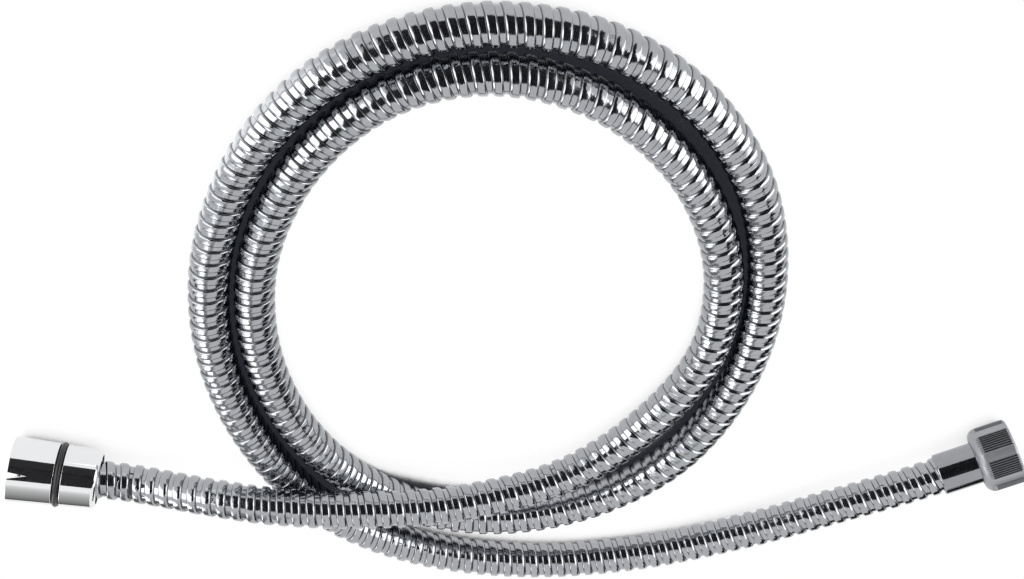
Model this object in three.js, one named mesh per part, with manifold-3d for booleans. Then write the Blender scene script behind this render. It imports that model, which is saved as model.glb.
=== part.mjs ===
// A flexible metal shower hose, lying in a double loop on a flat surface. Millimetres, +Z up.
// The origin is midway between the two end fittings, on the surface that the hose lies on.
// Each fitting is built on its own axis: u runs along it, out of the open end of the nut, and
// u = 0 is the sealing face of the insert's flange.

import * as THREE from 'three';
import { mergeVertices } from 'three/addons/utils/BufferGeometryUtils.js';
import Module from 'manifold-3d';

const wasm = await Module();
wasm.setup();

// Clearances
const seatGap = 0.3; // between two pieces that seat or grip each other
const runningGap = 0.3; // round the ferrule inside a nut that spins on it
const cutMargin = 1; // how far a cutting shape reaches past the face it cuts

// Hose: a spiral-wound steel conduit over a rubber inner tube
const conduitRadius = 7;
const conduitWall = 1.2;
const conduitSides = 10;
const innerTubeWall = 1.5;
const innerTubeSides = 8;
const hoseSteps = 80;

// Ferrules: thin cups that hold the end of the conduit round the insert
const ferruleWall = 0.6;
const ferruleEndWall = 1;
const ferruleChamfer = 0.4;
const coneFerruleLength = 14;
const tapFerruleLength = 18;

// Inserts: barbed nipples with a flange that the nut pulls against the washer
const threadRadius = 10.5; // major radius of the half-inch pipe thread in both nuts
const flangeClearance = 1.3; // from the thread's major radius in to the flange
const flangeThickness = 2.2;
const barbDepth = 0.5;
const barbPitch = 3;
const barbCount = 4;
const nippleWall = 0.7;
const neckWall = 2;

// Sealing washers
const washerClearance = 1.2; // from the thread's major radius in to the washer
const washerWidth = 3.8;
const washerThickness = 2;

// Nuts, both with the same thread and lip
const socketChamfer = 0.5;

// Cone nut, for the hand shower's holder
const coneLength = 31;
const coneRimWall = 1.4; // round the thread, at the rim
const coneTaper = 1; // from the rim's radius to the tail's
const coneRimRounding = 0.5;
const coneTailRounding = 1.8;
const coneSocketDepth = 14.3;
const coneLipLength = 6;
const coneSkirtGap = 0.7; // round the ferrule inside the nut's hollow tail
const notchLength = 7.2;
const notchWidth = 3.3;
const notchTurn = 34; // degrees from straight up

// Rubber ring round the cone nut
const ringCordRadius = 1.1;
const ringProud = 0.5;
const ringFromRim = 17;

// Knurled nut, for the tap
const knurledLength = 15;
const knurledWall = 1.8; // round the thread
const knurledShoulderRounding = 2.2;
const knurledRimRounding = 1;
const knurledSocketDepth = 11.7;
const knurlPanels = 7;
const groovesPerPanel = 8;
const groovePitch = 4.2; // degrees
const grooveWidth = 0.6;
const grooveDepth = 0.35;
const grooveSetback = 1.6; // from the hose side of the nut to the start of the grooves

// Where each fitting lies on the surface, and the way its open end points, in degrees from +X
const conePlace = { x: -176.7, y: -2.2, heading: 168.5 };
const tapPlace = { x: 177, y: 1.5, heading: 26.5 };

// Route of the hose's centre line between the fittings: over itself in a long low hump, twice
// round the loop on the surface, under the hump and out to the other fitting
const route = [
  [-116, -9.8, 18.2], [-92, -11.4, 21.5], [-62, -13.2, 21.8], [-25, -14, 18.2],
  [14, -6.5, 11.9], [43.5, 17, 8.1], [61.5, 50, 7.2], [62, 88.5, 7.1],
  [46, 125, 7.1], [17, 151.5, 7.1], [-18, 161.5, 7.1], [-52, 152.5, 7.1],
  [-79, 126, 7.1], [-94.5, 88, 7.1], [-94.5, 45, 7.1], [-79.5, 6, 7.1],
  [-51.5, -22, 7.1], [-15, -33.5, 7.1], [22.5, -26.5, 7.1], [54.5, -3.5, 7.1],
  [73.5, 33, 7.1], [78.5, 76, 7.1], [69, 118.5, 7.1], [45.5, 152.5, 7.1],
  [12, 173, 7.1], [-27, 177, 7.1], [-63.5, 163.5, 7.1], [-92, 134.5, 7.1],
  [-108.5, 94, 7.1], [-111, 49, 7.1], [-99.5, 6.5, 7.1], [-76, -29, 7.1],
  [-41, -51, 7.1], [2, -59.5, 7.1], [46, -56, 7.2], [88, -42.5, 8.5],
  [123, -25, 11.2],
];
const straightSteps = [15, 30]; // along the fitting's axis, from the end of the hose

// Facets round the turned pieces
const nutFacets = 48;
const ferruleFacets = 36;
const insertFacets = 24;
const ringFacets = 48;
const ringSectionFacets = 8;
const arcSteps = 4;

// Sizes that follow from the ones above
const conduitBore = conduitRadius - conduitWall;
const innerTubeRadius = conduitBore - seatGap;
const innerTubeBore = innerTubeRadius - innerTubeWall;
const ferruleBore = conduitRadius + seatGap;
const ferruleRadius = ferruleBore + ferruleWall;
const lipBore = ferruleRadius + runningGap;
const flangeRadius = threadRadius - flangeClearance;
const barbRadius = innerTubeBore - seatGap;
const rootRadius = barbRadius - barbDepth;
const waterwayRadius = rootRadius - nippleWall;
const neckRadius = waterwayRadius + neckWall;
const shoulderU = -(flangeThickness + seatGap);
const ferruleBackU = shoulderU - ferruleEndWall;
const hoseEndU = ferruleBackU - seatGap;
const coneRimRadius = threadRadius + coneRimWall;
const coneTailRadius = coneRimRadius - coneTaper;
const coneRimU = shoulderU + coneSocketDepth;
const knurledRadius = threadRadius + knurledWall;
const knurledRimU = shoulderU + knurledSocketDepth;

// Materials
const chrome = new THREE.MeshStandardMaterial({ color: 0xd6d9dc, metalness: 1, roughness: 0.08 });
const steel = new THREE.MeshStandardMaterial({ color: 0xc9ccd0, metalness: 1, roughness: 0.14 });
const brass = new THREE.MeshStandardMaterial({ color: 0xb5975a, metalness: 1, roughness: 0.3 });
const rubber = new THREE.MeshStandardMaterial({ color: 0x18181a, metalness: 0, roughness: 0.6 });
const innerRubber = new THREE.MeshStandardMaterial({ color: 0x2b2b2e, metalness: 0, roughness: 0.5 });

// A closed profile of [radius, u] points, anticlockwise, revolved round the fitting's axis
function turned(profile, facets) {
  const points = profile.map(([radius, u]) => new THREE.Vector2(radius, u));
  points.push(points[0].clone());
  return new THREE.LatheGeometry(points, facets).rotateZ(-Math.PI / 2);
}

// Points of an arc in a [radius, u] profile, angles in degrees from the radius direction
function arc(radius, u, size, from, to) {
  return Array.from({ length: arcSteps + 1 }, (_, i) => {
    const angle = THREE.MathUtils.degToRad(from + ((to - from) * i) / arcSteps);
    return [radius + size * Math.cos(angle), u + size * Math.sin(angle)];
  });
}

// Vertices and triangles of a geometry as a solid that can be cut
function toSolid(geometry) {
  const bare = geometry.clone();
  bare.deleteAttribute('normal');
  bare.deleteAttribute('uv');
  const merged = mergeVertices(bare, 1e-5);
  return new wasm.Manifold(new wasm.Mesh({
    numProp: 3,
    vertProperties: new Float32Array(merged.attributes.position.array),
    triVerts: new Uint32Array(merged.index.array),
  }));
}

// A solid as a geometry again
function toGeometry(solid) {
  const mesh = solid.getMesh();
  const geometry = new THREE.BufferGeometry();
  geometry.setAttribute('position', new THREE.BufferAttribute(mesh.vertProperties, 3));
  geometry.setIndex(new THREE.BufferAttribute(mesh.triVerts, 1));
  geometry.computeVertexNormals();
  return geometry;
}

function cut(geometry, cutter) {
  return toGeometry(toSolid(geometry).subtract(toSolid(cutter)));
}

function piece(name, geometry, material) {
  const mesh = new THREE.Mesh(geometry, material);
  mesh.name = name;
  return mesh;
}

// Hose

function fittingAxis(place, height) {
  const heading = THREE.MathUtils.degToRad(place.heading);
  return {
    origin: new THREE.Vector3(place.x, place.y, height),
    direction: new THREE.Vector3(Math.cos(heading), Math.sin(heading), 0),
  };
}

// The end of the hose and two points behind it, all on the fitting's axis
function straightEnd(axis) {
  return [0, ...straightSteps].map((step) => (
    axis.origin.clone().addScaledVector(axis.direction, hoseEndU - step)));
}

function hoseCurve() {
  const coneEnd = straightEnd(fittingAxis(conePlace, coneRimRadius));
  const tapEnd = straightEnd(fittingAxis(tapPlace, knurledRadius));
  const middle = route.map(([x, y, z]) => new THREE.Vector3(x, y, z));
  const points = [...coneEnd, ...middle, ...tapEnd.reverse()];
  const curve = new THREE.CatmullRomCurve3(points, false, 'catmullrom', 0.5);
  curve.arcLengthDivisions = 40 * points.length;
  return curve;
}

// A many-sided ring whose corners reach the outer radius and whose bore is full across its flats
function ringSection(radius, bore, sides) {
  const polygon = (size) => Array.from({ length: sides }, (_, i) => {
    const angle = (2 * Math.PI * i) / sides;
    return new THREE.Vector2(size * Math.cos(angle), size * Math.sin(angle));
  });
  const section = new THREE.Shape(polygon(radius));
  section.holes.push(new THREE.Path(polygon(bore / Math.cos(Math.PI / sides))));
  return section;
}

function tubeAlong(curve, radius, bore, sides) {
  const section = ringSection(radius, bore, sides);
  return new THREE.ExtrudeGeometry(section, { steps: hoseSteps, extrudePath: curve });
}

function hose() {
  const curve = hoseCurve();
  const conduit = tubeAlong(curve, conduitRadius, conduitBore, conduitSides);
  const innerTube = tubeAlong(curve, innerTubeRadius, innerTubeBore, innerTubeSides);
  const group = new THREE.Group();
  group.add(piece('hose_conduit', conduit, steel));
  group.add(piece('inner_tube', innerTube, innerRubber));
  return group;
}

// Pieces that both fittings have

function ferrule(length) {
  const openU = shoulderU - length;
  return turned([
    [neckRadius + seatGap, shoulderU],
    [neckRadius + seatGap, ferruleBackU],
    [ferruleBore, ferruleBackU],
    [ferruleBore, openU],
    [ferruleRadius - ferruleChamfer, openU],
    [ferruleRadius, openU + ferruleChamfer],
    [ferruleRadius, shoulderU],
  ], ferruleFacets);
}

function insert() {
  const profile = [
    [waterwayRadius, 0],
    [waterwayRadius, ferruleBackU - barbCount * barbPitch],
  ];
  for (let i = barbCount; i > 0; i -= 1) {
    profile.push([rootRadius, ferruleBackU - i * barbPitch]);
    profile.push([barbRadius, ferruleBackU - (i - 1) * barbPitch - barbPitch / 4]);
    profile.push([rootRadius, ferruleBackU - (i - 1) * barbPitch - barbPitch / 8]);
  }
  profile.push([rootRadius, ferruleBackU]);
  profile.push([neckRadius, ferruleBackU]);
  profile.push([neckRadius, -flangeThickness]);
  profile.push([flangeRadius, -flangeThickness]);
  profile.push([flangeRadius, 0]);
  return turned(profile, insertFacets);
}

function washer() {
  const radius = threadRadius - washerClearance;
  return turned([
    [radius - washerWidth, seatGap],
    [radius, seatGap],
    [radius, seatGap + washerThickness],
    [radius - washerWidth, seatGap + washerThickness],
  ], insertFacets);
}

// Cone nut

function coneRadiusAt(fromRim) {
  return coneRimRadius - ((coneRimRadius - coneTailRadius) * fromRim) / coneLength;
}

function ringSeat() {
  const centreRadius = coneRadiusAt(ringFromRim) + ringProud - ringCordRadius;
  const reach = ringCordRadius + seatGap;
  return { centreRadius, reach, centreU: coneRimU - ringFromRim };
}

function coneNutBody() {
  const tailU = coneRimU - coneLength;
  const skirtBore = ferruleRadius + coneSkirtGap;
  const seat = ringSeat();
  const tailTop = coneRadiusAt(coneLength - coneTailRounding);
  return turned([
    [threadRadius, shoulderU],
    [lipBore, shoulderU],
    [lipBore, shoulderU - coneLipLength],
    [skirtBore, shoulderU - coneLipLength],
    [skirtBore, tailU],
    ...arc(tailTop - coneTailRounding, tailU + coneTailRounding, coneTailRounding, -90, 0),
    [coneRadiusAt(ringFromRim + seat.reach), seat.centreU - seat.reach],
    [seat.centreRadius - seat.reach, seat.centreU - seat.reach],
    [seat.centreRadius - seat.reach, seat.centreU + seat.reach],
    [coneRadiusAt(ringFromRim - seat.reach), seat.centreU + seat.reach],
    ...arc(coneRimRadius - coneRimRounding, coneRimU - coneRimRounding, coneRimRounding, 0, 90),
    [threadRadius + socketChamfer, coneRimU],
    [threadRadius, coneRimU - socketChamfer],
  ], nutFacets);
}

// A wedge right across the rim, which leaves a V notch in each side of it
function notchWedge() {
  const mouth = (notchWidth / 2) * (1 + cutMargin / notchLength);
  const wedge = new THREE.Shape([
    new THREE.Vector2(coneRimU - notchLength, 0),
    new THREE.Vector2(coneRimU + cutMargin, -mouth),
    new THREE.Vector2(coneRimU + cutMargin, mouth),
  ]);
  const depth = 2 * (coneRimRadius + cutMargin);
  const geometry = new THREE.ExtrudeGeometry(wedge, { depth, bevelEnabled: false });
  return geometry.translate(0, 0, -depth / 2).rotateX(THREE.MathUtils.degToRad(notchTurn));
}

function coneNut() {
  return cut(coneNutBody(), notchWedge());
}

function coneNutRing() {
  const { centreRadius, centreU } = ringSeat();
  const profile = Array.from({ length: ringSectionFacets }, (_, i) => {
    const angle = (2 * Math.PI * i) / ringSectionFacets;
    return [centreRadius + ringCordRadius * Math.cos(angle), centreU + ringCordRadius * Math.sin(angle)];
  });
  return turned(profile, ringFacets);
}

// Knurled nut

function knurledNutBody() {
  const tailU = knurledRimU - knurledLength;
  const rimU = knurledRimU - knurledRimRounding;
  const rimRadius = knurledRadius - knurledRimRounding;
  const shoulder = knurledRadius - knurledShoulderRounding;
  return turned([
    [threadRadius, shoulderU],
    [lipBore, shoulderU],
    [lipBore, tailU],
    ...arc(shoulder, tailU + knurledShoulderRounding, knurledShoulderRounding, -90, 0),
    ...arc(rimRadius, rimU, knurledRimRounding, 0, 90),
    [threadRadius + socketChamfer, knurledRimU],
    [threadRadius, knurledRimU - socketChamfer],
  ], nutFacets);
}

// One V groove of the knurling, as a triangle pointing at the axis
function grooveSection(angle) {
  const half = (grooveWidth / 2) * (1 + cutMargin / grooveDepth);
  const along = new THREE.Vector2(Math.cos(angle), Math.sin(angle));
  const across = new THREE.Vector2(-along.y, along.x);
  const mouth = along.clone().multiplyScalar(knurledRadius + cutMargin);
  return new THREE.Shape([
    along.clone().multiplyScalar(knurledRadius - grooveDepth),
    mouth.clone().addScaledVector(across, half),
    mouth.clone().addScaledVector(across, -half),
  ]);
}

// Panels of grooves with plain panels between them, one plain panel at the top
function knurlGrooves() {
  const sections = [];
  for (let panel = 0; panel < knurlPanels; panel += 1) {
    const panelAngle = (360 * (panel + 0.5)) / knurlPanels;
    for (let i = 0; i < groovesPerPanel; i += 1) {
      const offset = (i - (groovesPerPanel - 1) / 2) * groovePitch;
      sections.push(grooveSection(THREE.MathUtils.degToRad(180 - panelAngle - offset)));
    }
  }
  const depth = knurledLength - grooveSetback + cutMargin;
  const geometry = new THREE.ExtrudeGeometry(sections, { depth, bevelEnabled: false });
  return geometry.translate(0, 0, knurledRimU + cutMargin - depth).rotateY(Math.PI / 2);
}

function knurledNut() {
  return cut(knurledNutBody(), knurlGrooves());
}

// Fittings

function placed(group, place, height) {
  group.position.set(place.x, place.y, height);
  group.rotation.z = THREE.MathUtils.degToRad(place.heading);
  return group;
}

function coneFitting() {
  const group = new THREE.Group();
  group.add(piece('cone_nut', coneNut(), chrome));
  group.add(piece('cone_nut_ring', coneNutRing(), rubber));
  group.add(piece('cone_end_ferrule', ferrule(coneFerruleLength), steel));
  group.add(piece('cone_end_insert', insert(), brass));
  group.add(piece('cone_end_washer', washer(), rubber));
  return placed(group, conePlace, coneRimRadius);
}

function tapFitting() {
  const group = new THREE.Group();
  group.add(piece('knurled_nut', knurledNut(), chrome));
  group.add(piece('tap_end_ferrule', ferrule(tapFerruleLength), chrome));
  group.add(piece('tap_end_insert', insert(), brass));
  group.add(piece('tap_end_washer', washer(), rubber));
  return placed(group, tapPlace, knurledRadius);
}

const showerHose = new THREE.Group();
showerHose.add(hose());
showerHose.add(coneFitting());
showerHose.add(tapFitting());

export default showerHose;
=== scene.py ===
"""A flexible metal shower hose in a double loop, dressed on its CAD frame.

Lengths are in millimetres and become metres as each mesh is made. A fitting is described on its own axis:
u runs along it, out of the open end of the nut, and u = 0 is the sealing face of the insert's flange.
"""

import logging
from dataclasses import dataclass
from enum import Enum

import bpy
import numpy as np
from mathutils import Matrix


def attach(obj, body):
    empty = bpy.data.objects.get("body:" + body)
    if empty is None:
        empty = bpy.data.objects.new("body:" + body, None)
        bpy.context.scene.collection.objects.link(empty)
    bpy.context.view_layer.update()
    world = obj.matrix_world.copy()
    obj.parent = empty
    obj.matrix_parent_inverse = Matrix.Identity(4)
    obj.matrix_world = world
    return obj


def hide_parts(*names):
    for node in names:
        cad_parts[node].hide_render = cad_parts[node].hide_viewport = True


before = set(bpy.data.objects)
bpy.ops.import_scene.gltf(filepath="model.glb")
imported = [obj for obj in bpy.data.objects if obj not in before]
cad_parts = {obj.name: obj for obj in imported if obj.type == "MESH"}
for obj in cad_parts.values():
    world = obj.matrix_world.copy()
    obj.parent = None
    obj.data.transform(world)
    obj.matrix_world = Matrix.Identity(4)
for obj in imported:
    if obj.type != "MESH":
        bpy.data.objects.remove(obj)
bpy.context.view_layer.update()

MM = 0.001
LOG = logging.getLogger("shower_hose")
GRID_PER_MM = 1e4
CORNER_STEPS = 5
CORNER_SHARE = 0.3
FLAT_BEYOND = 1.4
QUARTER_STEPS = 7
SAME_WITHIN = 0.01
CORD_STEP = 6
MIX_INPUTS = (0, 6, 7)
MIX_RESULT = 2
Numbers = tuple[float, ...]
Socket = bpy.types.NodeSocket
Array = np.ndarray


class Body(Enum):
    """The rigid bodies that pieces ride on."""

    HOSE = "hose"
    CONE = "hand_shower_nut"
    TAP = "tap_nut"


class Slot(Enum):
    """The record's material slots."""

    CHROME = "chrome"
    STEEL = "polished_steel"
    BRASS = "brass"
    RUBBER = "rubber"
    INNER = "inner_rubber"


# Node trees


class NodeTree:
    """A node tree, with a short method for each kind of node that the finishes and the studio use."""

    def __init__(self, tree: bpy.types.NodeTree) -> None:
        """Takes up a tree."""
        self.tree = tree

    def put(self, node: bpy.types.Node, socket: object, value: object) -> None:
        """Links a socket into a node's input, or sets the input to a plain value.

        Args:
            node: the node that is fed.
            socket: the input's name or place.
            value: an output socket, a number or a colour.
        """
        if isinstance(value, Socket):
            self.tree.links.new(value, node.inputs[socket])
        else:
            node.inputs[socket].default_value = value

    def made(self, kind: str, output: object, inputs: dict[object, object], **settings: object) -> Socket:
        """Adds a node.

        Args:
            kind: its type name.
            output: the name or place of the output that is returned.
            inputs: the sockets, numbers and colours that it takes, by the input's name or place.
            settings: its properties.

        Returns:
            The output.
        """
        node = self.tree.nodes.new(f"ShaderNode{kind}")
        for key, value in settings.items():
            setattr(node, key, value)
        for socket, value in inputs.items():
            self.put(node, socket, value)
        return node.outputs[output]

    def math(self, operation: str, *values: object) -> Socket:
        """A Math node's result for its inputs."""
        return self.made("Math", 0, dict(enumerate(values)), operation=operation)

    def span(self, value: Socket, low: float, high: float, to_low: float, to_high: float) -> Socket:
        """Carries a value from low..high to to_low..to_high, held at both ends."""
        return self.made("MapRange", 0, dict(enumerate((value, low, high, to_low, to_high))))

    def band(self, value: Socket, rise: Numbers, fall: Numbers, height: float) -> Socket:
        """0 outside a band of values, and a height between the rise's end and the fall's start."""
        rising, falling = self.span(value, *rise, 0.0, height), self.span(value, *fall, height, 0.0)
        return self.math("MINIMUM", rising, falling)


class Shader(NodeTree):
    """One material's node tree, round a Principled surface."""

    def __init__(self, name: str) -> None:
        """Starts a material.

        Args:
            name: the material's name.
        """
        self.material = bpy.data.materials.new(name)
        self.material.use_nodes = True
        super().__init__(self.material.node_tree)
        self.surface = self.tree.nodes["Principled BSDF"]
        self.coordinates = self.made("TexCoord", "Object", {})

    def noise(self, scale: float, detail: float) -> Socket:
        """Noise on Object coordinates, about 0 to 1, from its cells in a metre and its octaves."""
        return self.made("TexNoise", "Fac", {"Vector": self.coordinates, "Scale": scale, "Detail": detail})

    def attribute(self, name: str) -> Socket:
        """The value of one of the mesh's own attributes."""
        return self.made("Attribute", "Fac", {}, attribute_name=name)

    def rings(self, waves: float) -> Socket:
        """Fine rings round a fitting: sin(waves u), with the place along its axis u."""
        return self.math("SINE", self.math("MULTIPLY", self.attribute("along"), waves))

    def part(self, axis: str) -> Socket:
        """The X, Y or Z of the Object coordinates."""
        return self.made("SeparateXYZ", axis, {0: self.coordinates})

    def blend(self, factor: Socket, first: object, second: object) -> Socket:
        """Mixes two colours: the first where the factor is 0, and the second where it is 1."""
        return self.made("Mix", MIX_RESULT, dict(zip(MIX_INPUTS, (factor, first, second))), data_type="RGBA")

    def relief(self, height: Socket, depth: float, strength: float) -> None:
        """Gives the surface a bump, whose depth is in millimetres where the height is 1."""
        bump = self.made("Bump", "Normal", {"Height": height, "Distance": depth * MM, "Strength": strength})
        self.put(self.surface, "Normal", bump)

    def show(self, surface: Socket) -> None:
        """Shows another surface than the Principled one."""
        self.put(self.tree.nodes["Material Output"], "Surface", surface)


# Finishes


@dataclass(frozen=True)
class Finish:
    """A surface whose colour and gloss drift over broad patches, under a fine relief.

    A noise is its cells in a metre and its octaves. A relief is its depth in millimetres and its strength.
    Gloss is the patches' values at two ends and the roughness at each. A painted shade darkens the colour
    where the mesh's attribute of that name is 1, in seams and grooves where shade falls, and adds its own
    roughness. Rings, if any, take the grain's place.
    """

    name: str
    slot: Slot = Slot.CHROME
    metallic: float = 1.0
    clean: Numbers = (0.87, 0.875, 0.88, 1.0)
    dull: Numbers = (0.78, 0.785, 0.8, 1.0)
    patches: Numbers = (55.0, 5.0)
    gloss: Numbers = (0.35, 0.75, 0.03, 0.09)
    grain: Numbers = (140.0, 2.0)
    rings: float = 0.0
    relief: Numbers = (0.03, 0.5)
    # painted shade: the attribute that marks seams and grooves, their darker colour and their added roughness
    painted_shade: str = ""
    painted_shade_colour: Numbers = (0.05, 0.05, 0.05, 1.0)
    painted_shade_roughness: float = 0.0

    def material(self) -> bpy.types.Material:
        """Builds the material."""
        shader = Shader(self.name)
        patches = shader.noise(*self.patches)
        colour = shader.blend(patches, self.clean, self.dull)
        roughness = shader.span(patches, *self.gloss)
        # painted shade: the colour goes dark where the attribute is 1
        if self.painted_shade:
            painted_shade = shader.attribute(self.painted_shade)
            colour = shader.blend(painted_shade, colour, self.painted_shade_colour)
            if self.painted_shade_roughness:
                added = shader.math("MULTIPLY", painted_shade, self.painted_shade_roughness)
                roughness = shader.math("ADD", added, roughness)
        shader.put(shader.surface, "Metallic", self.metallic)
        shader.put(shader.surface, "Base Color", colour)
        shader.put(shader.surface, "Roughness", roughness)
        shader.relief(shader.rings(self.rings) if self.rings else shader.noise(*self.grain), *self.relief)
        return shader.material


@dataclass(frozen=True)
class ChromePlate(Finish):
    """Bright chrome plate with faint handling marks, which is as a finish starts out."""

    name: str = "bright_chrome_plate"


@dataclass(frozen=True)
class PolishedSteel(Finish):
    """Polished stainless strip, wound into ribs, with painted shade in its seams, which are also duller."""

    name: str = "polished_spiral_steel"
    slot: Slot = Slot.STEEL
    clean: Numbers = (0.45, 0.463, 0.485, 1.0)
    dull: Numbers = (0.34, 0.35, 0.37, 1.0)
    patches: Numbers = (180.0, 4.0)
    gloss: Numbers = (0.3, 0.75, 0.08, 0.17)
    grain: Numbers = (700.0, 4.0)
    relief: Numbers = (0.1, 0.7)
    # painted shade in the seams at the feet of the ribs
    painted_shade: str = "seam"
    painted_shade_colour: Numbers = (0.05, 0.052, 0.06, 1.0)
    painted_shade_roughness: float = 0.25


@dataclass(frozen=True)
class SatinChrome(Finish):
    """Chrome plate over a blasted surface, which blurs what it reflects, with painted shade and dirt in its
    grooves and over its grooved panels.
    """

    name: str = "satin_chrome_plate"
    clean: Numbers = (0.44, 0.453, 0.475, 1.0)
    dull: Numbers = (0.35, 0.36, 0.38, 1.0)
    patches: Numbers = (120.0, 5.0)
    gloss: Numbers = (0.3, 0.75, 0.42, 0.52)
    grain: Numbers = (1800.0, 2.0)
    relief: Numbers = (0.01, 0.5)
    # painted shade and dirt in the grooves and over the grooved panels
    painted_shade: str = "sunk"
    painted_shade_colour: Numbers = (0.04, 0.041, 0.046, 1.0)


@dataclass(frozen=True)
class DrawnSteel(Finish):
    """A smooth drawn steel cup with faint lines round it."""

    name: str = "drawn_steel_sleeve"
    clean: Numbers = (0.35, 0.36, 0.38, 1.0)
    dull: Numbers = (0.28, 0.288, 0.305, 1.0)
    patches: Numbers = (90.0, 4.0)
    gloss: Numbers = (0.3, 0.75, 0.06, 0.14)
    rings: float = 21.0
    relief: Numbers = (0.002, 0.6)


@dataclass(frozen=True)
class TurnedBrass(Finish):
    """Brass with the fine rings of the lathe tool and a dull film."""

    name: str = "turned_brass"
    slot: Slot = Slot.BRASS
    clean: Numbers = (0.76, 0.6, 0.32, 1.0)
    dull: Numbers = (0.5, 0.38, 0.2, 1.0)
    patches: Numbers = (160.0, 5.0)
    gloss: Numbers = (0.3, 0.7, 0.2, 0.42)
    rings: float = 28.0
    relief: Numbers = (0.006, 0.7)


@dataclass(frozen=True)
class MouldedRubber(Finish):
    """Matt black rubber with a fine grain."""

    name: str = "moulded_rubber"
    slot: Slot = Slot.RUBBER
    metallic: float = 0.0
    clean: Numbers = (0.008, 0.008, 0.01, 1.0)
    dull: Numbers = (0.02, 0.02, 0.022, 1.0)
    patches: Numbers = (260.0, 5.0)
    gloss: Numbers = (0.3, 0.7, 0.3, 0.46)
    grain: Numbers = (2400.0, 2.0)
    relief: Numbers = (0.02, 0.6)


# Surfaces


def tidy_faces(points: Array, quads: Array) -> tuple[Array, list[Array]]:
    """Merges vertices that share a place and sorts quads into quads, triangles and nothing.

    Args:
        points: vertices, one a row.
        quads: four vertex numbers a row.

    Returns:
        The first vertex at each place, and the faces as one array of quads and one of triangles.
    """
    keys = np.round(points * GRID_PER_MM).astype(np.int64)
    _, first, place = np.unique(keys, axis=0, return_index=True, return_inverse=True)
    faces = place.reshape(-1)[quads]
    same = faces == np.roll(faces, -1, axis=1)
    crossed = (faces[:, 0] == faces[:, 2]) | (faces[:, 1] == faces[:, 3])
    whole = faces[(same.sum(1) == 0) & ~crossed]
    narrow = (same.sum(1) == 1) & ~crossed
    corner = np.argmax(same[narrow], axis=1)
    order = (corner[:, None] + np.array([1, 2, 3])) % 4
    return first, [whole, np.take_along_axis(faces[narrow], order, axis=1)]


def solid(name: str, points: Array, quads: Array, **attributes: Array) -> bpy.types.Object:
    """Makes a closed smooth mesh object, its faces outwards, from vertices in millimetres.

    The faces are turned over where the sum of a . (b x c) / 6 over the triangles, the volume, is negative.

    Args:
        name: the object's name.
        points: vertices, one a row.
        quads: four vertex numbers a row; a quad may have shrunk to a triangle or a line.
        attributes: a number for each vertex, by the attribute's name.

    Returns:
        The object.
    """
    first, faces = tidy_faces(points, quads)
    places = points[first]
    triangles = np.vstack([faces[0][:, [0, 1, 2]], faces[0][:, [0, 2, 3]], faces[1]])
    a, b, c = (places[triangles[:, i]] for i in range(3))
    if np.einsum("ij,ij->", a, np.cross(b, c)) < 0:
        faces = [group[:, ::-1] for group in faces]
    corners = np.concatenate([group.ravel() for group in faces])
    sizes = np.concatenate([np.full(len(group), group.shape[1]) for group in faces])
    mesh = bpy.data.meshes.new(name)
    mesh.vertices.add(len(places))
    mesh.vertices.foreach_set("co", (places * MM).astype(np.float32).ravel())
    mesh.loops.add(len(corners))
    mesh.loops.foreach_set("vertex_index", corners.astype(np.int32))
    mesh.polygons.add(len(sizes))
    mesh.polygons.foreach_set("loop_start", np.concatenate([[0], np.cumsum(sizes)[:-1]]).astype(np.int32))
    mesh.polygons.foreach_set("use_smooth", np.ones(len(sizes), dtype=bool))
    for key, values in attributes.items():
        layer = mesh.attributes.new(key, "FLOAT", "POINT")
        layer.data.foreach_set("value", values[first].astype(np.float32))
    mesh.update(calc_edges=True)
    made = bpy.data.objects.new(name, mesh)
    bpy.context.scene.collection.objects.link(made)
    return made


def ring_quads(rows: int, columns: int) -> Array:
    """Quads of a grid that closes on itself both ways.

    Args:
        rows: the grid's rows.
        columns: its columns.

    Returns:
        Four vertex numbers a row, where vertex (i, j) has the number i * columns + j.
    """
    i, j = np.meshgrid(np.arange(rows), np.arange(columns), indexing="ij")
    after, beside = (i + 1) % rows, (j + 1) % columns
    corners = [i * columns + j, after * columns + j, after * columns + beside, i * columns + beside]
    return np.stack(corners, axis=-1).reshape(-1, 4)


def softened(profile: list[Numbers], reach: float) -> Array:
    """A closed profile with each corner rounded and kept flat on both sides of its rounding.

    Each corner c becomes points of the curve (1 - t)^2 (c - p) + 2 t (1 - t) c + t^2 (c + q), where p and q
    run back and on along its sides, and one more point beyond each end.

    Args:
        profile: [radius, u] points.
        reach: how far the rounding runs along each side.

    Returns:
        The rounded profile's points, one a row.
    """
    corner = np.array(profile)
    sides = [np.roll(corner, step, axis=0) - corner for step in (1, -1)]
    lengths = [np.linalg.norm(side, axis=1, keepdims=True) for side in sides]
    back, on = (side / size * np.minimum(reach, size * CORNER_SHARE) for side, size in zip(sides, lengths))
    t = np.linspace(0.0, 1.0, CORNER_STEPS)[None, :, None]
    curve = (1 - t) ** 2 * (corner + back)[:, None] + 2 * t * (1 - t) * corner[:, None]
    curve = curve + t**2 * (corner + on)[:, None]
    before, beyond = (corner + FLAT_BEYOND * back)[:, None], (corner + FLAT_BEYOND * on)[:, None]
    return np.concatenate([before, curve, beyond], axis=1).reshape(-1, 2)


def filled(profile: Array, step: float, divided: Array | None = None) -> Array:
    """A closed profile with points added so that no side is longer than a step.

    Args:
        profile: [radius, u] points, one a row.
        step: the longest side.
        divided: for each point, whether the side on to the next one is divided. All are if there is none.

    Returns:
        The fuller profile, one point a row.
    """
    sides = np.roll(profile, -1, axis=0) - profile
    counts = np.maximum(1, np.ceil(np.linalg.norm(sides, axis=1) / step).astype(int))
    if divided is not None:
        counts = np.where(divided, counts, 1)
    start = np.repeat(np.arange(len(profile)), counts)
    share = np.concatenate([np.arange(count) / count for count in counts])
    return profile[start] + sides[start] * share[:, None]


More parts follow.
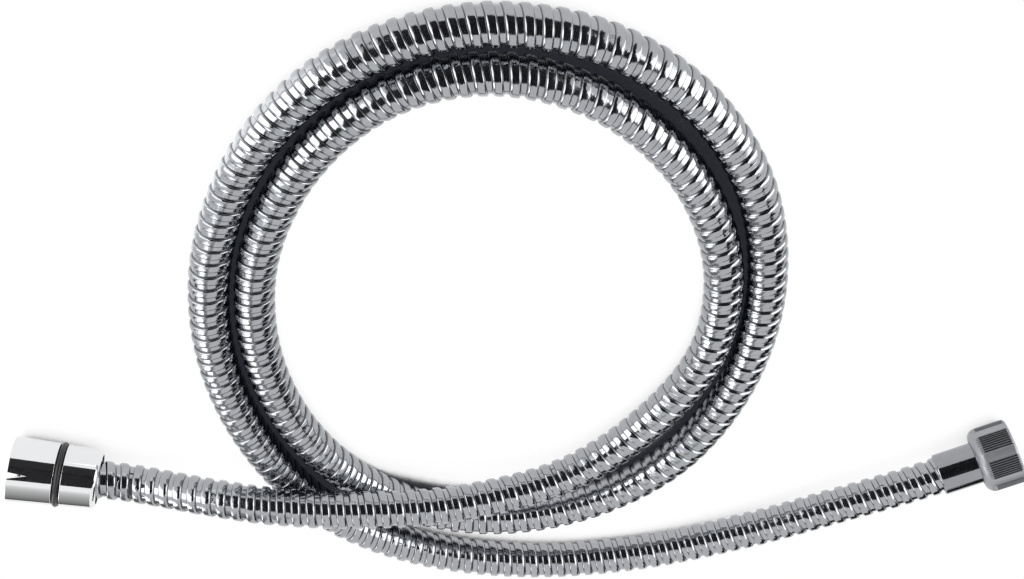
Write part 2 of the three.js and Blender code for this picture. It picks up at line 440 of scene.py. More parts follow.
@dataclass(frozen=True)
class FittingPlace:
    """Where a fitting lies: its flange's sealing face, and the way its open end points."""

    x: float
    y: float
    height: float
    heading: float

    def axis(self) -> Array:
        """The unit vector out of the open end."""
        turn = np.radians(self.heading)
        return np.array([np.cos(turn), np.sin(turn), 0.0])

    def at(self, u: Array, radius: Array, angle: Array) -> Array:
        """Points round the fitting's axis: origin + u axis + r sin(angle) side + r cos(angle) up.

        Args:
            u: places along the axis.
            radius: distances from it.
            angle: angles in radians, from straight up.

        Returns:
            Points, with x, y and z last.
        """
        side = np.array([-self.axis()[1], self.axis()[0], 0.0])
        up = np.array([0.0, 0.0, 1.0])
        across = (radius * np.sin(angle))[..., None] * side + (radius * np.cos(angle))[..., None] * up
        return np.array([self.x, self.y, self.height]) + np.asarray(u)[..., None] * self.axis() + across


@dataclass(frozen=True)
class Piece:
    """A made object with its finish, its body and the node that it stands for."""

    made: bpy.types.Object
    finish: Finish
    body: Body
    node: str

    def settle(self) -> bpy.types.Object:
        """Dresses the object, hides the CAD node that it stands for and hangs it on its body."""
        self.made.data.materials.append(self.finish.material())
        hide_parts(self.node)
        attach(self.made, self.body.value)
        LOG.info("%s: %d faces, for %s", self.made.name, len(self.made.data.polygons), self.node)
        return self.made


def around(profile: Array, angles: Array) -> tuple[Array, ...]:
    """A grid's radii, places along the axis and angles: a row for each profile point, a column an angle."""
    radius, u = (np.repeat(profile[:, i:i + 1], len(angles), axis=1) for i in (0, 1))
    return radius, u, np.broadcast_to(angles, u.shape)


def nearest_mark(degrees: Array, marks: Array) -> Array:
    """How far round the circle each angle lies from the nearest mark, in degrees."""
    return np.abs((degrees[:, None] - marks + 180) % 360 - 180).min(axis=1)


def quarter(radius: float, u: float, size: float, start: float) -> list[Numbers]:
    """Profile points on a quarter circle round (radius, u), counter-clockwise from an angle in degrees."""
    turn = np.radians(np.linspace(start, start + 90, QUARTER_STEPS))
    return [(radius + size * np.cos(a), u + size * np.sin(a)) for a in turn]


def revolved(name: str, place: FittingPlace, profile: Array, angles: Array) -> bpy.types.Object:
    """A closed profile carried round a fitting's axis, which keeps each place along it as "along"."""
    radius, u, angle = around(profile, angles)
    return solid(name, place.at(u, radius, angle).reshape(-1, 3), ring_quads(*u.shape), along=u.ravel())


def even_angles(columns: int) -> Array:
    """Evenly spaced angles round a circle, in radians."""
    return np.arange(columns) * 2 * np.pi / columns


# Hose


def read_off(s: Array, far: Array, rows: Array) -> Array:
    """The vectors at distances s, between the distances far at which the rows give them."""
    return np.stack([np.interp(s, far, rows[:, i]) for i in range(rows.shape[1])], axis=-1)


@dataclass(frozen=True)
class HoseRoute:
    """The hose's centre line: straight out of each fitting, and one smooth curve between them."""

    cone: FittingPlace
    tap: FittingPlace
    end_u: float = -3.8
    straight_steps: Numbers = (0.0, 15.0, 30.0)
    per_span: int = 60
    route: tuple[Numbers, ...] = (
        (-116, -9.8, 18.2), (-92, -11.4, 21.5), (-62, -13.2, 21.8), (-25, -14, 18.2),
        (14, -6.5, 11.9), (43.5, 17, 8.1), (61.5, 50, 7.2), (62, 88.5, 7.1),
        (46, 125, 7.1), (17, 151.5, 7.1), (-18, 161.5, 7.1), (-52, 152.5, 7.1),
        (-79, 126, 7.1), (-94.5, 88, 7.1), (-94.5, 45, 7.1), (-79.5, 6, 7.1),
        (-51.5, -22, 7.1), (-15, -33.5, 7.1), (22.5, -26.5, 7.1), (54.5, -3.5, 7.1),
        (73.5, 33, 7.1), (78.5, 76, 7.1), (69, 118.5, 7.1), (45.5, 152.5, 7.1),
        (12, 173, 7.1), (-27, 177, 7.1), (-63.5, 163.5, 7.1), (-92, 134.5, 7.1),
        (-108.5, 94, 7.1), (-111, 49, 7.1), (-99.5, 6.5, 7.1), (-76, -29, 7.1),
        (-41, -51, 7.1), (2, -59.5, 7.1), (46, -56, 7.2), (88, -42.5, 8.5),
        (123, -25, 11.2),
    )

    def points(self) -> Array:
        """All the points that the curve runs through, from the cone nut to the knurled nut."""
        steps = self.end_u - np.array(self.straight_steps)
        ends = [place.at(steps, 0 * steps, 0 * steps) for place in (self.cone, self.tap)]
        return np.vstack([ends[0], np.array(self.route, dtype=float), ends[1][::-1]])

    def line(self) -> Array:
        """The curve, finely divided.

        Between the points b and c, with a before and d after them, it is half of
        2 b + (c - a) t + (2 a - 5 b + 4 c - d) t^2 + (3 b - a - 3 c + d) t^3.

        Returns:
            Points, one a row.
        """
        given = self.points()
        full = np.vstack([2 * given[0] - given[1], given, 2 * given[-1] - given[-2]])
        a, b, c, d = (full[i:len(full) - 3 + i, None] for i in range(4))
        t = (np.arange(self.per_span) / self.per_span)[None, :, None]
        curve = 2 * b + (c - a) * t + (2 * a - 5 * b + 4 * c - d) * t**2 + (3 * b - a - 3 * c + d) * t**3
        return np.vstack([curve.reshape(-1, 3) / 2, given[-1]])


@dataclass(frozen=True)
class Conduit:
    """The hose's spiral-wound conduit: one raised rib and one recessed band in each turn of the strip."""

    route: HoseRoute
    finish: PolishedSteel = PolishedSteel()
    radius: float = 7.0
    band_radius: float = 6.1
    bore: float = 5.8
    pitch: float = 5.35
    rib_share: float = 0.64
    sides: int = 24
    bore_rows: int = 150
    bend_window: int = 61
    half_range: Numbers = (0.2, 0.4)
    wear_seed: int = 14
    least_proud: float = 0.94
    knots: Numbers = (
        -0.32, -0.308, -0.285, -0.25, -0.2, 0.07, 0.14, 0.195, 0.24, 0.283, 0.32, 0.355, 0.645)
    heights: Numbers = (0.0, 0.5, 0.8, 0.95, 1.0, 1.0, 0.955, 0.85, 0.69, 0.45, 0.0, 0.0, 0.0)
    # painted shade at each knot: darkest in the seams at the feet of the ribs
    seams: Numbers = (1.0, 0.3, 0.0, 0.0, 0.0, 0.0, 0.0, 0.0, 0.0, 0.2, 1.0, 0.0, 0.0)

    def spine(self) -> tuple[Array, ...]:
        """The centre line with its distances, its two cross directions and its bend.

        Returns:
            Distances, points, side directions, up directions, and the curvature vectors.
        """
        line = self.route.line()
        steps = np.linalg.norm(np.diff(line, axis=0), axis=1)
        far = np.concatenate([[0.0], np.cumsum(steps)])
        tangent = np.gradient(line, far, axis=0)
        tangent /= np.linalg.norm(tangent, axis=1, keepdims=True)
        side = np.cross(tangent, [0.0, 0.0, 1.0])
        side /= np.linalg.norm(side, axis=1, keepdims=True)
        bend = np.gradient(tangent, far, axis=0)
        window = np.ones(self.bend_window) / self.bend_window
        bend = np.stack([np.convolve(bend[:, i], window, mode="same") for i in range(3)], axis=1)
        return far, line, side, np.cross(side, tangent), bend

    def length(self) -> float:
        """The centre line's length."""
        return float(self.spine()[0][-1])

    def carried(self, s: Array, radius: Array, angle: Array) -> Array:
        """Points round the centre line: line(s) + r cos(angle) side(s) + r sin(angle) up(s).

        Args:
            s: distances along the line.
            radius: distances from it.
            angle: angles round it.

        Returns:
            Points, with x, y and z last.
        """
        far, line, side, up, _ = self.spine()
        at = [read_off(s, far, rows) for rows in (line, side, up)]
        across, rise = (radius * np.cos(angle))[..., None], (radius * np.sin(angle))[..., None]
        return at[0] + across * at[1] + rise * at[2]

    def strip(self) -> tuple[Array, ...]:
        """The grid of the outer surface, which leans round the hose as a right-handed screw.

        Row i, column j lies at s = pitch (turn + knot - j / sides). The rib keeps its width where the hose
        bends, so its share of the turn is divided by 1 - r bend . direction, and the band takes the rest.

        Returns:
            The distances, the radii and the painted shade of the seams, rows by columns.
        """
        far, _, side, up, bend = self.spine()
        turns = int(np.ceil(far[-1] / self.pitch)) + 2
        knots = np.tile(self.knots, turns)
        middle = (np.repeat(np.arange(turns), len(self.knots))[:, None] - np.arange(self.sides) / self.sides)
        angle = np.broadcast_to(even_angles(self.sides), middle.shape)
        s = np.clip(middle * self.pitch, 0, far[-1])
        out = [read_off(s, far, rows) for rows in (side, up, bend)]
        outward = np.cos(angle)[..., None] * out[0] + np.sin(angle)[..., None] * out[1]
        stretch = 1 - self.radius * np.einsum("ijk,ijk->ij", outward, out[2])
        half = self.rib_share / 2
        edge = np.clip(half / stretch, *self.half_range)
        rib = knots[:, None] * edge / half
        band = edge + (knots[:, None] - half) * (1 - 2 * edge) / (1 - 2 * half)
        place = middle + np.where(knots[:, None] <= half, rib, band)
        height = np.tile(self.heights, turns)[:, None] * self.wear(turns)
        radius = self.band_radius + (self.radius - self.band_radius) * height
        return place * self.pitch, radius, np.tile(self.seams, turns)[:, None] + 0 * middle

    def wear(self, turns: int) -> Array:
        """How proud each rib stands, a little different from turn to turn: one factor a row of the grid."""
        uneven = np.random.default_rng(self.wear_seed).uniform(self.least_proud, 1.0, turns)
        return np.repeat(uneven, len(self.knots))[:, None]

    def build(self) -> bpy.types.Object:
        """Makes the conduit, a closed tube wall: the strip outside, the plain bore inside, flat ends."""
        far = self.spine()[0]
        s, radius, seam = self.strip()
        ends = (s <= 0) | (s >= far[-1])
        s = np.clip(s, 0, far[-1])
        radius = np.where(ends, self.band_radius, radius)
        angle = np.broadcast_to(even_angles(self.sides), s.shape)
        outer = self.carried(s, radius, angle)
        shape = (self.bore_rows, self.sides)
        inner_s = np.broadcast_to(np.linspace(far[-1], 0, self.bore_rows)[:, None], shape)
        inner = self.carried(inner_s, np.full(inner_s.shape, self.bore), angle[:self.bore_rows])
        points = np.vstack([outer.reshape(-1, 3), inner.reshape(-1, 3)])
        seams = np.concatenate([np.where(ends, 0.0, seam).ravel(), np.zeros(inner_s.size)])
        return solid("spiral_conduit", points, self.quads(len(s)), seam=seams)

    def quads(self, rows: int) -> Array:
        """The faces of the strip, whose last column meets the first one turn back, of the bore and the ends.

        Args:
            rows: the strip's rows.

        Returns:
            Four vertex numbers a row.
        """
        turn, columns = len(self.knots), self.sides
        i, j = np.meshgrid(np.arange(turn, rows - 1), np.arange(columns), indexing="ij")
        last = j == columns - 1
        near = np.where(last, (i - turn) * columns, i * columns + j + 1)
        far = np.where(last, (i + 1 - turn) * columns, (i + 1) * columns + j + 1)
        strip = np.stack([i * columns + j, (i + 1) * columns + j, far, near], axis=-1).reshape(-1, 4)
        first_turn = ring_quads(turn + 1, columns).reshape(-1, columns, 4)[:turn, :-1].reshape(-1, 4)
        whole = ring_quads(self.bore_rows + 2, columns)[: (self.bore_rows + 1) * columns]
        start = (rows - 1) * columns
        bore = np.where(whole < columns, whole + start, whole - columns + rows * columns)
        bore = np.where(whole >= (self.bore_rows + 1) * columns, whole - (self.bore_rows + 1) * columns, bore)
        return np.vstack([first_turn, strip, bore])


# Fittings


@dataclass(frozen=True)
class Thread:
    """The half-inch pipe thread inside a nut."""

    root_radius: float = 10.5
    depth: float = 1.12
    pitch: float = 1.814
    run_in: float = 3.4
    crest: float = 1.35
    fades: Numbers = (0.8, 0.9)
    mouth_gap: float = 0.2
    mouth_chamfer: float = 0.4
    steps_per_turn: int = 12

    def on_root(self, radius: Array) -> Array:
        """Whether each radius is the bore's."""
        return np.abs(radius - self.root_radius) < SAME_WITHIN

    def mouth(self, rim_u: float) -> list[Numbers]:
        """The profile's points at the chamfer between a nut's rim and its bore."""
        size = self.mouth_chamfer
        return [(self.root_radius + size, rim_u), (self.root_radius, rim_u - size)]

    def fine_bore(self, profile: Array) -> Array:
        """A closed profile whose sides in the bore are short enough for the thread."""
        bore = self.on_root(profile[:, 0])
        return filled(profile, self.pitch / self.steps_per_turn, bore & np.roll(bore, -1))

    def cut(self, u: Array, radius: Array, angle: Array, rim_u: float) -> Array:
        """A nut's radii with the thread cut into its bore, up to near its rim."""
        bore = self.on_root(radius) & (u > self.run_in)
        return np.where(bore, self.radius_at(u, angle, rim_u - self.mouth_gap), radius)

    def radius_at(self, u: Array, angle: Array, end_u: float) -> Array:
        """The wall's radius: a flat-topped ridge where frac(u / pitch + angle / turn) is near a half.

        Args:
            u: places along the axis.
            angle: angles round it.
            end_u: where the thread stops at the mouth.

        Returns:
            Radii.
        """
        phase = np.mod(u / self.pitch + angle / (2 * np.pi), 1.0)
        ridge = np.clip(self.crest * (1 - 2 * np.abs(2 * phase - 1)), 0.0, 1.0)
        start, stop = self.fades
        fade = np.clip((u - self.run_in) / start, 0, 1) * np.clip((end_u - u) / stop, 0, 1)
        return self.root_radius - self.depth * ridge * fade


@dataclass(frozen=True)
class EndPieces:
    """What both ends of the hose have: the ferrule, the barbed insert and the washer."""

    place: FittingPlace
    prefix: str
    nut_body: Body
    ferrule_finish: Finish
    ferrule_length: float
    shoulder_u: float = -2.5
    back_u: float = -3.5
    ferrule_bore: float = 7.3
    ferrule_radius: float = 7.9
    neck_radius: float = 4.5
    waterway: float = 2.5
    root_radius: float = 3.2
    barb_radius: float = 3.7
    barb_pitch: float = 3.0
    barb_count: int = 4
    barb_slope: float = 0.75
    mouth_curl: Numbers = (0.25, 0.5)
    neck_gap: float = 0.3
    corners: Numbers = (0.3, 0.12, 0.25)
    columns: tuple[int, int] = (96, 72)
    flange_radius: float = 9.2
    flange_thickness: float = 2.2
    washer_radii: Numbers = (5.5, 9.3)
    washer_u: Numbers = (0.3, 2.3)

    def ferrule(self) -> Piece:
        """The thin cup round the end of the conduit, its mouth curled slightly in."""
        open_u = self.shoulder_u - self.ferrule_length
        hole = self.neck_radius + self.neck_gap
        curl_in, curl_along = self.mouth_curl
        profile = softened([
            (hole, self.shoulder_u), (hole, self.back_u),
            (self.ferrule_bore, self.back_u), (self.ferrule_bore, open_u),
            (self.ferrule_radius - curl_in, open_u), (self.ferrule_radius, open_u + curl_along),
            (self.ferrule_radius, self.shoulder_u),
        ], self.corners[0])
        made = revolved(f"{self.prefix}_ferrule_cup", self.place, profile, even_angles(self.columns[0]))
        return Piece(made, self.ferrule_finish, Body.HOSE, f"{self.prefix}_ferrule")

    def insert(self) -> Piece:
        """The barbed nipple with its flange."""
        tip = self.back_u - self.barb_count * self.barb_pitch
        profile = [(self.waterway, 0.0), (self.waterway, tip)]
        for i in range(self.barb_count, 0, -1):
            after = self.back_u - (i - 1) * self.barb_pitch
            profile += [
                (self.root_radius, after - self.barb_pitch), (self.barb_radius, after - self.barb_slope),
                (self.root_radius, after - self.barb_slope / 2),
            ]
        profile += [
            (self.root_radius, self.back_u), (self.neck_radius, self.back_u),
            (self.neck_radius, -self.flange_thickness), (self.flange_radius, -self.flange_thickness),
            (self.flange_radius, 0.0),
        ]
        rounded, angles = softened(profile, self.corners[1]), even_angles(self.columns[1])
        made = revolved(f"{self.prefix}_insert_nipple", self.place, rounded, angles)
        return Piece(made, TurnedBrass(), Body.HOSE, f"{self.prefix}_insert")

    def washer(self) -> Piece:
        """The flat sealing washer on the flange."""
        (low, high), (back, front) = self.washer_radii, self.washer_u
        profile = softened([(low, back), (high, back), (high, front), (low, front)], self.corners[2])
        made = revolved(f"{self.prefix}_washer_ring", self.place, profile, even_angles(self.columns[1]))
        return Piece(made, MouldedRubber(), self.nut_body, f"{self.prefix}_washer")

    def pieces(self) -> list[bpy.types.Object]:
        """Builds and dresses all three."""
        return [piece.settle() for piece in (self.ferrule(), self.insert(), self.washer())]


@dataclass(frozen=True)
class ConeNut:
    """The conical nut: polished, notched across its rim, with a rubber ring in a groove."""

    place: FittingPlace
    thread: Thread = Thread()
    shoulder_u: float = -2.5
    rim_u: float = 11.8
    length: float = 31.0
    rim_radius: float = 11.9
    tail_radius: float = 10.9
    lip_bore: float = 8.2
    lip_length: float = 6.0
    skirt_bore: float = 9.1
    tail_rounding: float = 1.7
    ring_from_rim: float = 17.0
    ring_cord: float = 1.1
    ring_proud: float = 0.5
    seat_gap: float = 0.3
    notch_length: float = 6.8
    notch_lean: float = -0.5
    notch_width: float = 2.4
    notch_angle: float = -34.0
    notch_from_u: float = 3.0
    near_notch: Numbers = (
        -12, -10, -8.5, -7, -6.2, -5.7, -5, -4, -3, -2.4, -1.5, 0, 1.5, 3, 4, 5, 5.7, 6.2, 7, 8.5, 10, 12)
    turn_step: float = 2.5
    notch_clearance: float = 1.2
    corner: float = 0.15
    longest_side: float = 0.7
    thinnest_wall: float = 0.5
    ring_grid: tuple[int, int] = (20, 120)

    def radius_at(self, u: float) -> float:
        """The cone's radius at a place along the axis."""
        return self.rim_radius - (self.rim_radius - self.tail_radius) * (self.rim_u - u) / self.length

    def ring_centre(self) -> Numbers:
        """The middle of the rubber ring's cord, as a radius and a place along the axis."""
        u = self.rim_u - self.ring_from_rim
        return self.radius_at(u) + self.ring_proud - self.ring_cord, u

    def profile(self) -> Array:
        """The nut's closed profile, fine enough for its thread and notch."""
        tail_u = self.rim_u - self.length
        centre, ring_u = self.ring_centre()
        reach = self.ring_cord + self.seat_gap
        tail = self.radius_at(tail_u + self.tail_rounding) - self.tail_rounding
        walls = [
            (self.thread.root_radius, self.shoulder_u), (self.lip_bore, self.shoulder_u),
            (self.lip_bore, self.shoulder_u - self.lip_length),
            (self.skirt_bore, self.shoulder_u - self.lip_length), (self.skirt_bore, tail_u),
            *quarter(tail, tail_u + self.tail_rounding, self.tail_rounding, -90),
            (self.radius_at(ring_u - reach), ring_u - reach), (centre - reach, ring_u - reach),
            (centre - reach, ring_u + reach), (self.radius_at(ring_u + reach), ring_u + reach),
            (self.rim_radius, self.rim_u), *self.thread.mouth(self.rim_u),
        ]
        return self.thread.fine_bore(filled(softened(walls, self.corner), self.longest_side))

    def angles(self) -> Array:
        """Angles round the axis, closer together at the notches."""
        close = np.array(self.near_notch) + self.notch_angle
        notches = np.concatenate([close, close + 180])
        plain = np.arange(0, 360, self.turn_step)
        kept = plain[nearest_mark(plain, notches) > self.notch_clearance]
        return np.radians(np.sort(np.concatenate([kept, notches % 360])))

    def shell(self) -> Piece:
        """The nut itself.

        A point beyond notch_from_u moves back in step with the rim. Where x = r sin(angle from the notch),
        the rim lies back by notch_length min((half + x) / (half + lean), (half - x) / (half - lean)).
        """
        radius, u, angle = around(self.profile(), self.angles())
        turned = angle - np.radians(self.notch_angle)
        across, half = radius * np.sin(turned) * np.sign(np.cos(turned)), self.notch_width / 2
        slopes = (half + across) / (half + self.notch_lean), (half - across) / (half - self.notch_lean)
        sunk = np.clip(np.minimum(*slopes), 0, 1) * self.notch_length
        rim = (self.rim_u - sunk - self.notch_from_u) / (self.rim_u - self.notch_from_u)
        moved = np.where(u > self.notch_from_u, self.notch_from_u + (u - self.notch_from_u) * rim, u)
        wall = radius > self.thread.root_radius + self.thinnest_wall
        radius = np.where(wall, radius + self.radius_at(moved) - self.radius_at(u), radius)
        radius = self.thread.cut(moved, radius, angle, self.rim_u)
        points = self.place.at(moved, radius, angle)
        made = solid("cone_nut_shell", points.reshape(-1, 3), ring_quads(*u.shape), along=moved.ravel())
        return Piece(made, ChromePlate(), Body.CONE, "cone_nut")

    def ring(self) -> Piece:
        """The rubber ring, a round cord carried round the nut."""
        centre, ring_u = self.ring_centre()
        cord, turn = self.ring_cord, even_angles(self.ring_grid[0])
        profile = np.stack([centre + cord * np.cos(turn), ring_u + cord * np.sin(turn)], 1)
        made = revolved("cone_nut_seal", self.place, profile, even_angles(self.ring_grid[1]))
        return Piece(made, MouldedRubber(), Body.CONE, "cone_nut_ring")

    def pieces(self) -> list[bpy.types.Object]:
        """Builds and dresses both."""
        return [self.shell().settle(), self.ring().settle()]


@dataclass(frozen=True)
class KnurledNut:
    """The short nut for the tap, with panels of straight grooves and plain panels between them."""

    place: FittingPlace
    thread: Thread = Thread()
    shoulder_u: float = -2.5
    rim_u: float = 9.2
    length: float = 15.0
    radius: float = 12.3
    lip_bore: float = 8.2
    shoulder_rounding: float = 3.6
    rim_rounding: float = 1.0
    panels: int = 7
    grooves: int = 8
    groove_pitch: float = 4.2
    groove_width: float = 0.74
    groove_depth: float = 0.5
    groove_steps: int = 5
    setback: float = 1.6
    run_out: float = 0.4
    # painted shade and dirt: the level over a grooved panel, and what the depth of a groove adds
    groove_shade_and_dirt: Numbers = (0.5, 2.6)
    plain_half: float = 6.5
    plain_steps: int = 7
    corner: float = 0.2

    def profile(self) -> Array:
        """The nut's closed profile, fine enough for its thread."""
        tail_u = self.rim_u - self.length
        rim, tail = self.rim_rounding, self.shoulder_rounding
        walls = [
            (self.thread.root_radius, self.shoulder_u), (self.lip_bore, self.shoulder_u),
            (self.lip_bore, tail_u),
            *quarter(self.radius - tail, tail_u + tail, tail, -90),
            *quarter(self.radius - rim, self.rim_u - rim, rim, 0), *self.thread.mouth(self.rim_u),
        ]
        return self.thread.fine_bore(softened(walls, self.corner))

    def groove_angles(self) -> Array:
        """The middle of every groove, in degrees from straight up."""
        middle = 360 * (np.arange(self.panels) + 0.5) / self.panels
        offset = (np.arange(self.grooves) - (self.grooves - 1) / 2) * self.groove_pitch
        return (middle[:, None] + offset).ravel()

    def angles(self) -> Array:
        """Angles round the axis: each groove's middle, flanks and edges, and steps between them."""
        half = np.degrees(self.groove_width / 2 / self.radius)
        near = self.groove_angles()[:, None] + np.linspace(-half, half, self.groove_steps)
        between = self.groove_angles() + self.groove_pitch / 2
        steps = np.linspace(-self.plain_half, self.plain_half, self.plain_steps)
        plain = (360 * np.arange(self.panels) / self.panels)[:, None] + steps
        return np.radians(np.sort(np.concatenate([near.ravel(), between, plain.ravel()]) % 360))

    def shell(self) -> Piece:
        """The nut: no point lies further out than radius - depth (1 - |arc to the groove| / half width)."""
        radius, u, angle = around(self.profile(), self.angles())
        arc = np.radians(nearest_mark(np.degrees(angle[0]), self.groove_angles())) * self.radius
        sunk = np.clip(1 - arc / (self.groove_width / 2), 0, 1) * self.groove_depth
        fade = np.clip((u - (self.rim_u - self.length + self.setback)) / self.run_out, 0, 1)
        # painted shade and dirt: half dark over each grooved panel, darkest in the grooves
        between, inside = self.groove_shade_and_dirt
        panel = np.clip(between + inside * sunk / self.groove_depth, 0, 1)
        panel = panel * (arc < np.radians(self.groove_pitch) * self.radius)
        painted_shade = np.where(radius > self.radius - SAME_WITHIN, panel * fade, 0)
        radius = self.thread.cut(u, np.minimum(radius, self.radius - sunk * fade), angle, self.rim_u)
        points = self.place.at(u, radius, angle)
        made = solid("knurled_nut_shell", points.reshape(-1, 3), ring_quads(*u.shape), sunk=painted_shade.ravel())
        return Piece(made, SatinChrome(), Body.TAP, "knurled_nut")


# Studio


@dataclass(frozen=True)
class Studio:
    """The camera, the white floor and world, four soft boxes, and screens that only gloss sees.

    The camera's place is in millimetres and the rest is in metres. A soft box has its place, width, height
    and brightness, a wall the two ends of its foot and its height, and a band its rise, fall and height.
    """

    position: Numbers = (-41.09, 358.24, 364.67)
    right: Numbers = (0.997564, 0.042946, 0.054968)
    up: Numbers = (0.0, 0.788011, -0.615661)
    back: Numbers = (-0.069756, 0.614161, 0.786091)
    focal_px: float = 1340.0
    image_width_px: float = 1024.0
    sensor_mm: float = 36.0
    nearest: float = 0.01
    floor_half: float = 3.0
    floor_colour: Numbers = (0.8, 0.8, 0.8, 1.0)
    shade_colour: Numbers = (0.022, 0.023, 0.029, 1.0)
    white: Numbers = (1.0, 1.0, 1.0, 1.0)
    leans: tuple[Numbers, ...] = ((2.0, 0.0, 0.0), (0.0, 2.0, 0.0))
    open_above: Numbers = (0.1, 0.5, 0.78, 1.0)
    open_aside: Numbers = (0.43, 0.52, 0.0, 1.0)
    shade_reach: float = 0.02
    shade_samples: int = 14
    loop_centre: Numbers = (-0.016, 0.062, 0.0)
    between_turns: tuple = ((0.082, 0.088), (0.102, 0.108), 0.2)
    bright_x: tuple = ((-0.145, -0.13), (-0.11, -0.07), 1.0)
    bright_y: tuple = ((0.07, 0.12), (0.18, 0.22), 0.9)
    world_level: float = 0.6
    hood: tuple[Numbers, ...] = (
        (-0.26, 0.42, 0.075), (0.2, 0.42, 0.075), (0.2, 0.42, 0.32), (-0.26, 0.42, 0.32), (0.2, 0.083, 0.32),
        (-0.26, 0.03, 0.32))
    walls: tuple[Numbers, ...] = (
        (1.4, -1.2, 1.4, -0.45, 1.4), (-1.4, -1.2, -1.4, -0.6, 0.7), (0.45, -1.2, 0.8, -1.2, 0.7),
        (0.8, -1.2, 1.6, -1.2, 1.05))
    cloth_colour: Numbers = (0.014, 0.014, 0.017, 1.0)
    cloth_roughness: float = 0.9
    graded_wall: Numbers = (-0.75, -0.9, -0.33, -0.9, 5.0)
    graded_power: float = 0.55
    unseen_by: tuple[str, ...] = ("camera", "diffuse", "transmission", "shadow", "volume_scatter")
    soft_boxes: tuple[Numbers, ...] = (
        (0.475, 0.225, 0.32, 0.36, 0.72, 2.05), (-0.507, 0.225, 0.32, 0.36, 0.72, 2.05),
        (-0.72, -0.62, 0.55, 0.42, 0.42, 1.7), (-1.15, -0.88, 0.6, 0.7, 1.3, 1.3))

    def camera(self) -> None:
        """Places the camera at the photograph's angle."""
        data = bpy.data.cameras.new("camera")
        data.sensor_width = self.sensor_mm
        data.sensor_fit = "HORIZONTAL"
        data.lens = self.focal_px * self.sensor_mm / self.image_width_px
        data.clip_start = self.nearest
        made = bpy.data.objects.new("camera", data)
        matrix = Matrix.Identity(4)
        for row, axes in enumerate(zip(self.right, self.up, self.back)):
            matrix[row][:3] = axes
            matrix[row][3] = self.position[row] * MM
        made.matrix_world = matrix
        bpy.context.scene.collection.objects.link(made)
        bpy.context.scene.camera = made

    def stand(self, name: str, corners: list, faces: list, material: bpy.types.Material,
              unseen_by: tuple[str, ...] = ()) -> None:
        """Puts up a floor or a screen.

        Args:
            name: the object's name.
            corners: its corners, in metres.
            faces: its faces, as corner numbers.
            material: its material.
            unseen_by: the kinds of ray that don't see it.
        """
        mesh = bpy.data.meshes.new(name)
        mesh.from_pydata(corners, [], faces)
        made = bpy.data.objects.new(name, mesh)
        bpy.context.scene.collection.objects.link(made)
        for ray in unseen_by:
            setattr(made, f"visible_{ray}", False)
        made.data.materials.append(material)

    def floor(self) -> None:
        """A white floor: it shows white, darker where the object shuts out the light."""
        size = self.floor_half
        corners = [(-size, -size, 0), (size, -size, 0), (size, size, 0), (-size, size, 0)]
        shader = Shader("white_floor")
        shader.put(shader.surface, "Base Color", self.floor_colour)
        shader.put(shader.surface, "Roughness", 1.0)
        along_x, along_y = (
            shader.math("MAXIMUM", *(self.openness(shader, tuple(way * x for x in lean)) for way in (1, -1)))
            for lean in self.leans
        )
        ends = {0: shader.coordinates, 1: self.loop_centre}
        radius = shader.made("VectorMath", "Value", ends, operation="DISTANCE")
        between = shader.band(radius, *self.between_turns)
        aside = shader.math("SUBTRACT", shader.math("MINIMUM", along_x, along_y), between)
        above = shader.span(self.openness(shader, (0.0, 0.0, 0.0)), *self.open_above)
        shade = shader.math("MULTIPLY", above, shader.span(aside, *self.open_aside))
        colour = shader.blend(shade, self.shade_colour, self.white)
        glow = shader.made("Emission", "Emission", {"Color": colour, "Strength": self.floor_gloss(shader)})
        mixed = {0: self.seen(shader), 1: shader.surface.outputs["BSDF"], 2: glow}
        shader.show(shader.made("MixShader", "Shader", mixed))
        self.stand("floor", corners, [(0, 1, 2, 3)], shader.material)

    def floor_gloss(self, shader: Shader) -> Socket:
        """The floor's brightness: 1 for the camera, and more off gloss in a patch at the near left.

        Args:
            shader: the floor's tree.

        Returns:
            The brightness.
        """
        bands = {"X": self.bright_x, "Y": self.bright_y}
        left, near = (shader.band(shader.part(axis), *band) for axis, band in bands.items())
        gloss = shader.made("LightPath", "Is Glossy Ray", {})
        return shader.math("ADD", shader.math("MULTIPLY", shader.math("MULTIPLY", left, near), gloss), 1.0)

    def openness(self, shader: Shader, lean: Numbers) -> Socket:
        """How much of the view from the floor is free, from 0 to 1.

        Args:
            shader: the floor's tree.
            lean: what is added to the floor's upward direction.

        Returns:
            The free share of the half-space round the leaning direction.
        """
        upward = shader.made("TexCoord", "Normal", {})
        tilted = shader.made("VectorMath", "Vector", {0: upward, 1: lean}, operation="ADD")
        reach = {"Distance": self.shade_reach, "Normal": tilted}
        return shader.made("AmbientOcclusion", "AO", reach, samples=self.shade_samples)

    def seen(self, nodes: NodeTree) -> Socket:
        """1 for a ray from the camera, off gloss or through glass, and 0 for light on the object.

        Args:
            nodes: the tree that asks.

        Returns:
            1 or 0.
        """
        camera, gloss, glass = (
            nodes.made("LightPath", f"Is {kind} Ray", {}) for kind in ("Camera", "Glossy", "Transmission"))
        return nodes.math("MAXIMUM", nodes.math("MAXIMUM", camera, gloss), glass)

    def world(self) -> None:
        """A white world, at a lower level where it lights the object."""
        world = bpy.data.worlds.new("white")
        world.use_nodes = True
        nodes = NodeTree(world.node_tree)
        ground = nodes.tree.nodes["Background"]
        nodes.put(ground, "Color", self.white)
        nodes.put(ground, "Strength", nodes.span(self.seen(nodes), 0.0, 1.0, self.world_level, 1.0))
        bpy.context.scene.world = world

    def wall(self, wall: Numbers) -> list[Numbers]:
        """The four corners of an upright wall."""
        x0, y0, x1, y1, z = wall
        return [(x0, y0, 0.0), (x1, y1, 0.0), (x1, y1, z), (x0, y0, z)]

